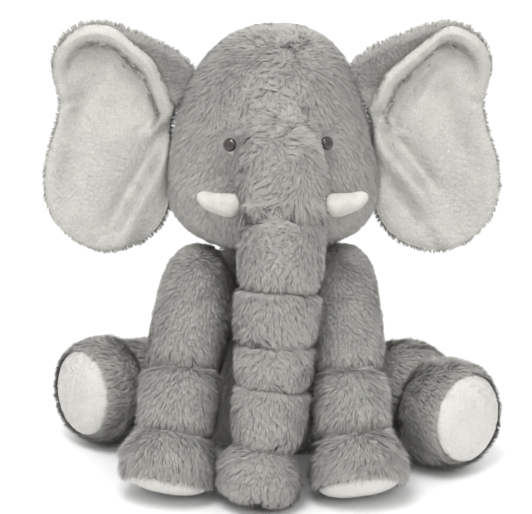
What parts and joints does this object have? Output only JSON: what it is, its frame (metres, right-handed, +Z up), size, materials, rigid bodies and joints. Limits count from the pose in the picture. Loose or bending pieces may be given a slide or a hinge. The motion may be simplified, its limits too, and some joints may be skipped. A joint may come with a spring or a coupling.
{
  "type": "stuffed elephant",
  "caption": "Seated stuffed elephant in grey plush with white-lined ears, felt tusks, glossy eyes, a creased trunk and jointed legs.",
  "frame": {"origin": "centre of the flat seat under the torso", "axes": "+Z up out of the seat, -Y the way the elephant faces, +X towards the elephant's left"},
  "size_m": [0.3231, 0.2763, 0.309],
  "materials": {
    "grey_plush": "deep soft pile",
    "white_plush": "short velvety pile",
    "tusk_felt": "brushed suede",
    "eye_plastic": "polished",
    "washer_plastic": "as moulded",
    "polyester_filling": "loose fibre",
    "pouch_cotton": "plain weave"
  },
  "bodies": {
    "body": {"body_cover": "grey_plush", "body_filling": "polyester_filling", "pellet_pouch": "pouch_cotton"},
    "head": {"head_cover": "grey_plush", "head_filling": "polyester_filling", "eye_left": "eye_plastic", "eye_right": "eye_plastic", "eye_washer_left": "washer_plastic", "eye_washer_right": "washer_plastic", "trunk_root_cover": "grey_plush", "trunk_root_filling": "polyester_filling", "tusk_left_cover": "tusk_felt", "tusk_left_filling": "polyester_filling", "tusk_right_cover": "tusk_felt", "tusk_right_filling": "polyester_filling"},
    "ear_left": {"ear_back_left": "grey_plush", "ear_batting_left": "polyester_filling", "ear_lining_left": "white_plush"},
    "ear_right": {"ear_back_right": "grey_plush", "ear_batting_right": "polyester_filling", "ear_lining_right": "white_plush"},
    "trunk_1": {"trunk_1_cover": "grey_plush", "trunk_1_filling": "polyester_filling"},
    "trunk_2": {"trunk_2_cover": "grey_plush", "trunk_2_filling": "polyester_filling"},
    "trunk_3": {"trunk_3_cover": "grey_plush", "trunk_3_filling": "polyester_filling"},
    "trunk_4": {"trunk_4_cover": "grey_plush", "trunk_4_filling": "polyester_filling"},
    "trunk_5": {"trunk_5_cover": "grey_plush", "trunk_5_filling": "polyester_filling"},
    "front_upper_left": {"front_upper_left_cover": "grey_plush", "front_upper_left_filling": "polyester_filling"},
    "front_lower_left": {"front_lower_left_cover": "grey_plush", "front_lower_left_filling": "polyester_filling"},
    "front_foot_left": {"front_foot_left_cover": "grey_plush", "front_foot_left_filling": "polyester_filling", "front_foot_left_sole": "white_plush"},
    "thigh_left": {"thigh_left_cover": "grey_plush", "thigh_left_filling": "polyester_filling"},
    "hind_foot_left": {"hind_foot_left_cover": "grey_plush", "hind_foot_left_filling": "polyester_filling", "hind_foot_left_sole": "white_plush"},
    "front_upper_right": {"front_upper_right_cover": "grey_plush", "front_upper_right_filling": "polyester_filling"},
    "front_lower_right": {"front_lower_right_cover": "grey_plush", "front_lower_right_filling": "polyester_filling"},
    "front_foot_right": {"front_foot_right_cover": "grey_plush", "front_foot_right_filling": "polyester_filling", "front_foot_right_sole": "white_plush"},
    "thigh_right": {"thigh_right_cover": "grey_plush", "thigh_right_filling": "polyester_filling"},
    "hind_foot_right": {"hind_foot_right_cover": "grey_plush", "hind_foot_right_filling": "polyester_filling", "hind_foot_right_sole": "white_plush"},
    "tail": {"tail_cover": "grey_plush", "tail_tuft": "grey_plush"}
  },
  "joints": [
    {"name": "neck_nod", "type": "hinge", "parent": "body", "child": "head", "pos_m": [0, -0.012, 0.19], "axis": [-1, 0, 0], "range_deg": [-4, 9]},
    {"name": "trunk_curl_1", "type": "hinge", "parent": "head", "child": "trunk_1", "pos_m": [0.0074, -0.1132, 0.1945], "axis": [-1, 0, 0], "range_deg": [-1, 16], "stiffness_Nm_per_rad": 0.25},
    {"name": "trunk_curl_2", "type": "hinge", "parent": "trunk_1", "child": "trunk_2", "pos_m": [0.0052, -0.121, 0.1475], "axis": [-1, 0, 0], "range_deg": [-3, 16], "stiffness_Nm_per_rad": 0.25},
    {"name": "trunk_curl_3", "type": "hinge", "parent": "trunk_2", "child": "trunk_3", "pos_m": [0.0026, -0.1285, 0.1105], "axis": [-1, 0, 0], "range_deg": [-3, 16], "stiffness_Nm_per_rad": 0.25},
    {"name": "trunk_curl_4", "type": "hinge", "parent": "trunk_3", "child": "trunk_4", "pos_m": [0.0006, -0.134, 0.082], "axis": [-1, 0, 0], "range_deg": [-3, 16], "stiffness_Nm_per_rad": 0.25},
    {"name": "trunk_curl_5", "type": "hinge", "parent": "trunk_4", "child": "trunk_5", "pos_m": [-0.0036, -0.142, 0.0435], "axis": [-1, 0, 0], "range_deg": [-3, 16], "stiffness_Nm_per_rad": 0.25},
    {"name": "ear_flap_left", "type": "hinge", "parent": "head", "child": "ear_left", "pos_m": [0.0775, -0.022, 0.2], "axis": [0.1044, 0, -0.9945], "range_deg": [-15, 15], "stiffness_Nm_per_rad": 0.04},
    {"name": "ear_flap_right", "type": "hinge", "parent": "head", "child": "ear_right", "pos_m": [-0.0775, -0.022, 0.2], "axis": [0.1044, 0, 0.9945], "range_deg": [-15, 15], "stiffness_Nm_per_rad": 0.04},
    {"name": "shoulder_left", "type": "hinge", "parent": "body", "child": "front_upper_left", "pos_m": [0.0495, -0.039, 0.1515], "axis": [-1, 0, 0], "range_deg": [-4, 25]},
    {"name": "elbow_left", "type": "hinge", "parent": "front_upper_left", "child": "front_lower_left", "pos_m": [0.053, -0.104, 0.076], "axis": [-1, 0, 0], "range_deg": [-4, 12]},
    {"name": "front_ankle_left", "type": "hinge", "parent": "front_lower_left", "child": "front_foot_left", "pos_m": [0.0555, -0.13, 0.045], "axis": [-1, 0, 0], "range_deg": [-3, 15]},
    {"name": "shoulder_right", "type": "hinge", "parent": "body", "child": "front_upper_right", "pos_m": [-0.05, -0.038, 0.1515], "axis": [-1, 0, 0], "range_deg": [-4, 25]},
    {"name": "elbow_right", "type": "hinge", "parent": "front_upper_right", "child": "front_lower_right", "pos_m": [-0.0625, -0.101, 0.0785], "axis": [-1, 0, 0], "range_deg": [-4, 12]},
    {"name": "front_ankle_right", "type": "hinge", "parent": "front_lower_right", "child": "front_foot_right", "pos_m": [-0.066, -0.126, 0.0445], "axis": [-1, 0, 0], "range_deg": [-3, 15]},
    {"name": "hip_left", "type": "hinge", "parent": "body", "child": "thigh_left", "pos_m": [0.077, -0.02, 0.039], "axis": [0, 0, 1], "range_deg": [-4, 14]},
    {"name": "hind_ankle_left", "type": "hinge", "parent": "thigh_left", "child": "hind_foot_left", "pos_m": [0.112, -0.064, 0.04], "axis": [-0.7614, -0.6482, 0], "range_deg": [-4, 8]},
    {"name": "hip_right", "type": "hinge", "parent": "body", "child": "thigh_right", "pos_m": [-0.0785, 0.006, 0.039], "axis": [0, 0, -1], "range_deg": [-4, 14]},
    {"name": "hind_ankle_right", "type": "hinge", "parent": "thigh_right", "child": "hind_foot_right", "pos_m": [-0.111, -0.0172, 0.0402], "axis": [-0.6672, 0.7449, 0], "range_deg": [-4, 8]},
    {"name": "tail_lift", "type": "hinge", "parent": "body", "child": "tail", "pos_m": [0, 0.07, 0.064], "axis": [1, 0, 0], "range_deg": [0, 30], "stiffness_Nm_per_rad": 0.02}
  ]
}
